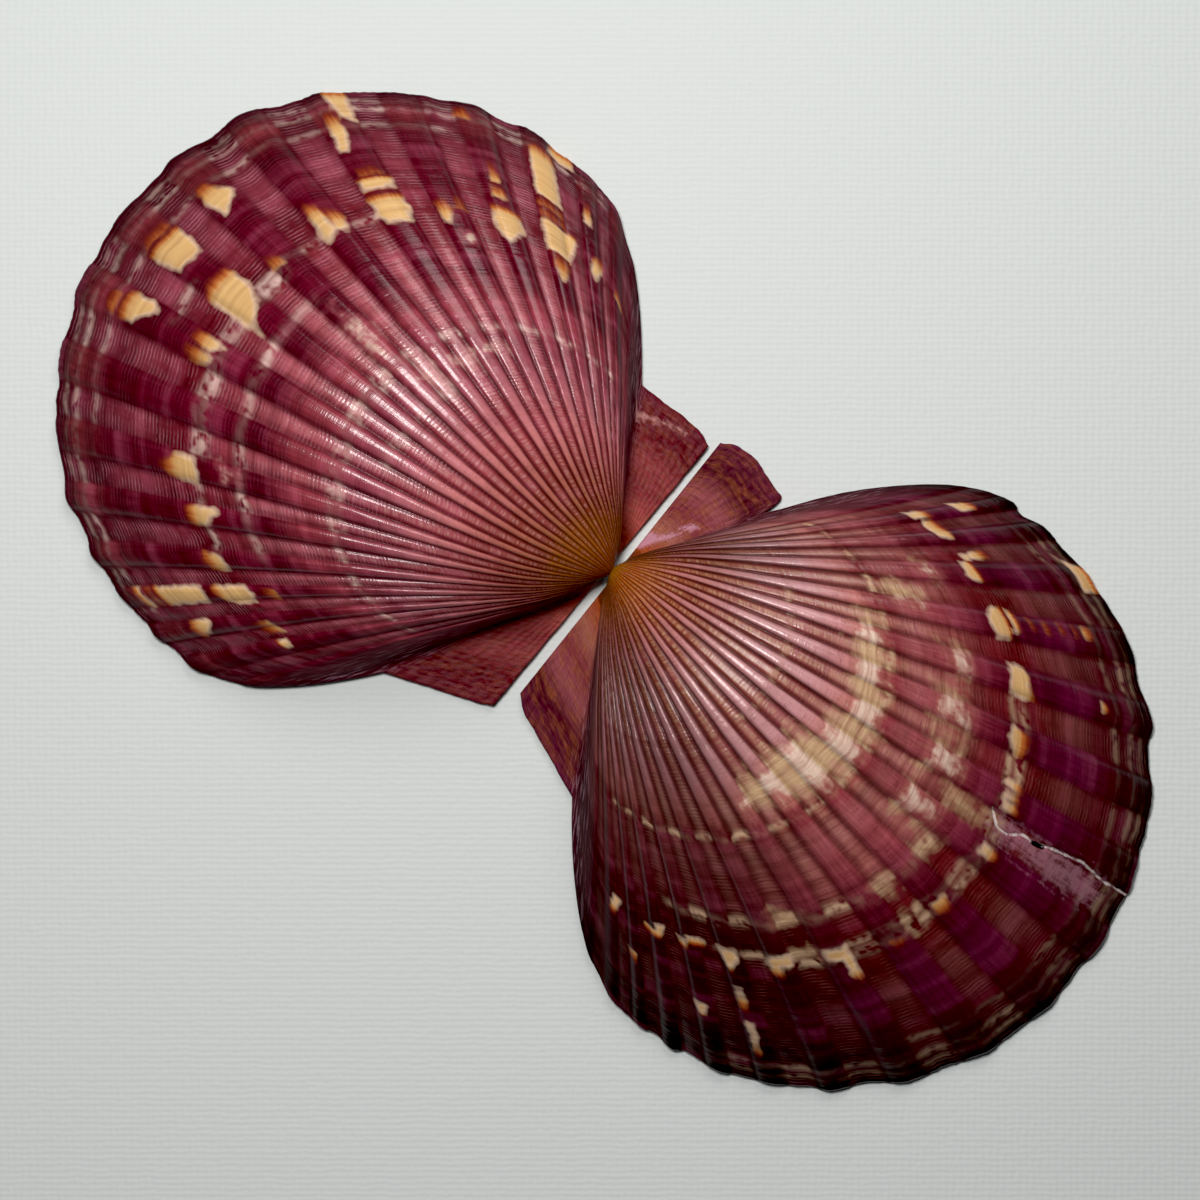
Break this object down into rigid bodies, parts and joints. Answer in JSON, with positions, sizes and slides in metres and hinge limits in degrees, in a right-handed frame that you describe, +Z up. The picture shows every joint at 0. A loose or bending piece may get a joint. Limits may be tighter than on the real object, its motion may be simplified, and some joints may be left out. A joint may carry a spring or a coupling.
{
  "type": "bay scallop shell",
  "caption": "Ribbed bay scallop shell lying open, its valves dome up and hinge to hinge, with scalloped margins, flat hinge ears and hollow undersides.",
  "frame": {"origin": "middle of the open shell's box, on the surface that it lies on, beside the point where the two beaks meet", "axes": "+Y from the hinge line along the left valve to its margin, -Y along the right valve, X along the hinge line, +Z up out of the domes"},
  "size_m": [0.0652, 0.1228, 0.0148],
  "materials": {
    "left_valve_shell": "glossy calcite, wine red and rose, with yellow patches on the ribs",
    "right_valve_shell": "glossy calcite, wine red and mauve ribs with tan spaces between them"
  },
  "bodies": {
    "root": {"left_valve": "left_valve_shell", "right_valve": "right_valve_shell"}
  },
  "joints": []
}
